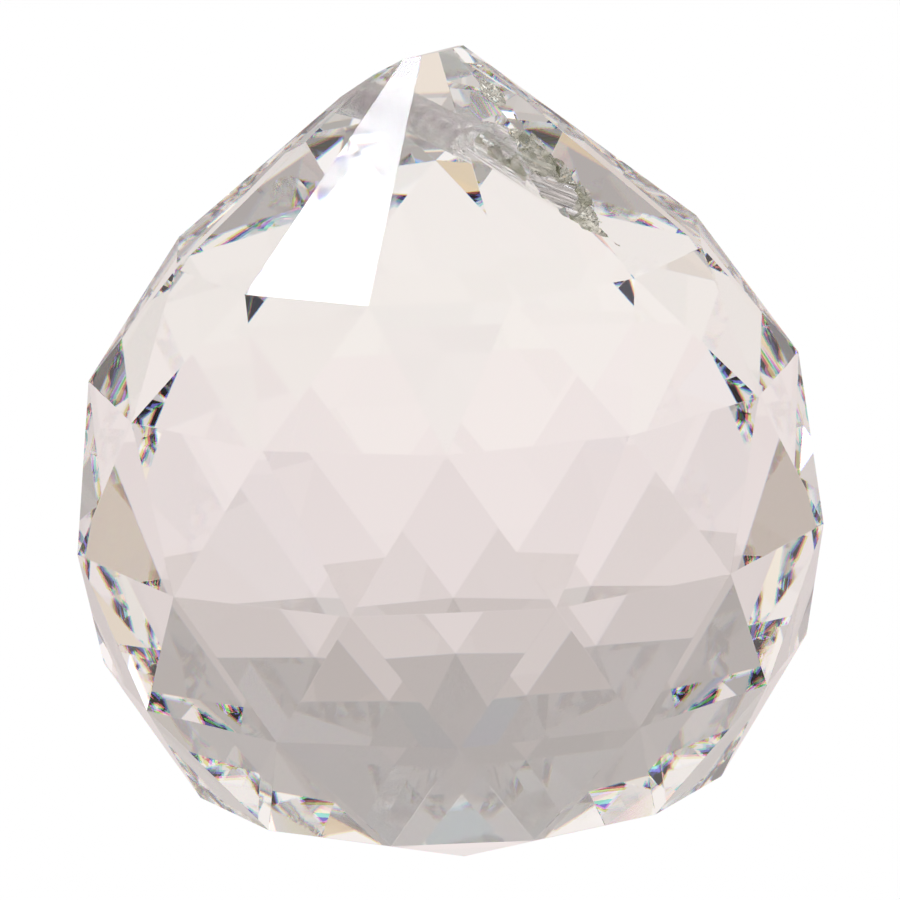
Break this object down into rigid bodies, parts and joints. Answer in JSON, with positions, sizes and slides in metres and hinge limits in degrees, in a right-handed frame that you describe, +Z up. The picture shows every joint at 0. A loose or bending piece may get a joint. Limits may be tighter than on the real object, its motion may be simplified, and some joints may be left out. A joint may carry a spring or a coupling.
{
  "type": "crystal ball suncatcher prism",
  "caption": "Clear facetted crystal ball that rises to a point, drilled across just under its tip so that it hangs in a window.",
  "frame": {"origin": "where the axis of the hanging bore crosses the ball's upright axis", "axes": "+Z up along the ball's axis to the point, as it hangs; +X towards the bore's lower mouth, the one with the long chip; +Y across"},
  "size_m": [0.04, 0.04, 0.0438],
  "materials": {
    "clear_crystal": "clear colourless crystal, polished flat facets, with a rough ground bore and chipped bore mouths"
  },
  "bodies": {
    "root": {"crystal_ball": "clear_crystal"}
  },
  "joints": []
}
